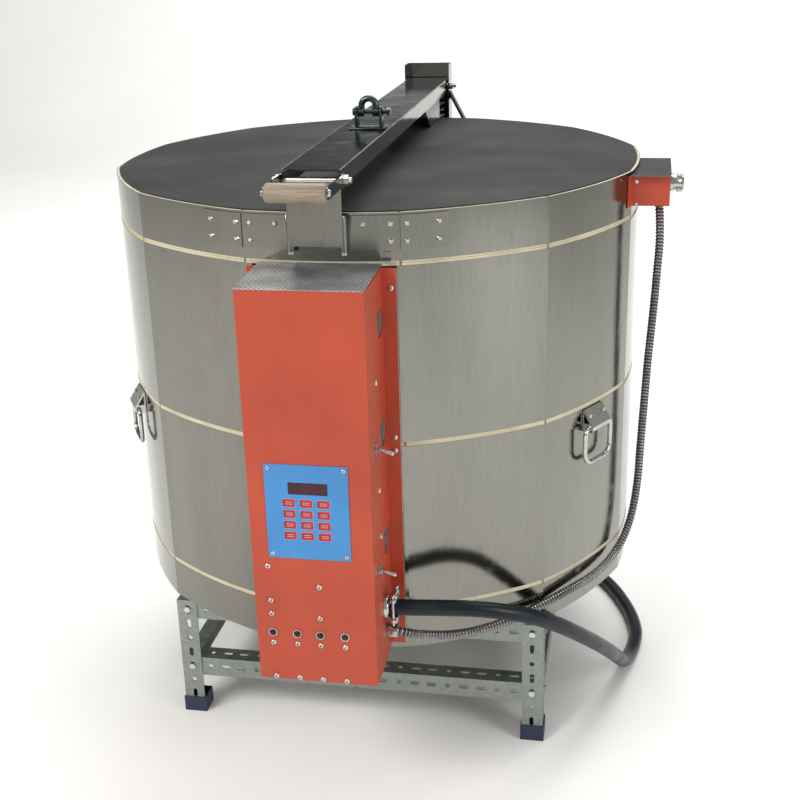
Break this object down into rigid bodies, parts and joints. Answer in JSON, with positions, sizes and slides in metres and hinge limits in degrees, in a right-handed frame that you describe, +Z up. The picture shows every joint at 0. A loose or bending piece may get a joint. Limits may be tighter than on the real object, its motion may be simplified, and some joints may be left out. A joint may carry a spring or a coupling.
{
  "type": "pottery kiln",
  "caption": "Front-controlled electric pottery kiln: round brick body in steel jackets on a slotted-angle stand, with a spring-assisted hinged lid, control box and power cord.",
  "frame": {"origin": "on the vertical axis of the kiln body, at floor level", "axes": "+X to the right seen from the front, +Y to the rear, +Z up; the control box faces -Y"},
  "size_m": [0.913, 1.092, 1.0112],
  "materials": {
    "galvanised": "dull galvanised slotted angle",
    "foot_plastic": "moulded cap",
    "zinc": "zinc-plated hardware",
    "board": "fibre-cement",
    "brick": "soft insulating firebrick",
    "stainless": "rolled stainless sheet",
    "element": "oxidised resistance wire",
    "ceramic": "unglazed ceramic",
    "polished": "bright bent wire",
    "orange": "orange enamel",
    "grille": "perforated steel",
    "plate_blue": "membrane overlay",
    "display": "dark red window",
    "keys": "printed keys",
    "lamp": "lamp lens and rim",
    "circuit": "circuit board",
    "black_plastic": "moulded plastic",
    "core": "laminated core",
    "dark_steel": "dark plated steel",
    "cover_sheet": "dull grey sheet",
    "beech": "turned wood",
    "conduit_steel": "spiral-wound steel",
    "cord_rubber": "black jacket"
  },
  "bodies": {
    "kiln": {"stand_legs": "galvanised", "foot_caps": "foot_plastic", "upper_rails": "galvanised", "lower_rails": "galvanised", "stand_bolts": "zinc", "base_board": "board", "floor_slab": "brick", "floor_band": "stainless", "lower_brick_ring": "brick", "upper_brick_ring": "brick", "lower_jacket": "stainless", "upper_jacket": "stainless", "wall_elements": "element", "element_terminals": "ceramic", "thermocouple": "ceramic", "handle_brackets": "polished", "case_base": "orange", "case_cover": "orange", "case_grille": "grille", "case_screws": "zinc", "faceplate": "plate_blue", "display_window": "display", "keypad_keys": "keys", "pilot_lamps": "lamp", "controller_board": "circuit", "relays": "black_plastic", "transformer": "core", "terminal_block": "black_plastic", "toggle_bushings": "polished", "hinge_post": "stainless", "hinge_stays": "dark_steel", "lid_springs": "dark_steel", "hinge_pin": "zinc", "conduit_fittings": "polished", "conduit": "conduit_steel", "cord_clamp": "polished", "power_cord": "cord_rubber", "power_plug": "black_plastic"},
    "lid": {"lid_slab": "brick", "lid_band": "stainless", "lid_cover": "cover_sheet", "lid_elements": "element", "lid_straps": "stainless", "strap_pins": "zinc", "lid_rivets": "zinc", "lift_bar": "stainless", "bar_gussets": "dark_steel", "apron_plate": "stainless", "bow_base": "dark_steel", "bow_pin": "zinc", "grip_rod": "zinc", "junction_box": "orange", "junction_connector": "polished"},
    "grip": {"grip_arms": "stainless", "wooden_grip": "beech"},
    "lifting_bow": {"lifting_bow": "dark_steel"},
    "bail_left": {"handle_bail_left": "polished"},
    "bail_right": {"handle_bail_right": "polished"},
    "toggle_upper": {"toggle_lever_upper": "polished"},
    "toggle_lower": {"toggle_lever_lower": "polished"}
  },
  "joints": [
    {"name": "lid_hinge", "type": "hinge", "parent": "kiln", "child": "lid", "pos_m": [0, 0.512, 0.947], "axis": [-1, 0, 0], "range_deg": [0, 75], "deforming": ["lid_springs"]},
    {"name": "grip_pivot", "type": "hinge", "parent": "lid", "child": "grip", "pos_m": [0, -0.444, 0.945], "axis": [-1, 0, 0], "range_deg": [-60, 90]},
    {"name": "bow_pivot", "type": "hinge", "parent": "lid", "child": "lifting_bow", "pos_m": [0.01, -0.112, 0.986], "axis": [1, 0, 0], "range_deg": [-90, 90]},
    {"name": "bail_left_pivot", "type": "hinge", "parent": "kiln", "child": "bail_left", "pos_m": [-0.37672, -0.2175, 0.526], "axis": [-0.5, 0.866, 0], "range_deg": [-5, 95]},
    {"name": "bail_right_pivot", "type": "hinge", "parent": "kiln", "child": "bail_right", "pos_m": [0.37672, -0.2175, 0.526], "axis": [-0.5, -0.866, 0], "range_deg": [-5, 95]},
    {"name": "toggle_upper_throw", "type": "hinge", "parent": "kiln", "child": "toggle_upper", "pos_m": [0.091, -0.51, 0.59], "axis": [0, -1, 0], "range_deg": [0, 30]},
    {"name": "toggle_lower_throw", "type": "hinge", "parent": "kiln", "child": "toggle_lower", "pos_m": [0.091, -0.518, 0.409], "axis": [0, -1, 0], "range_deg": [0, 30]}
  ]
}
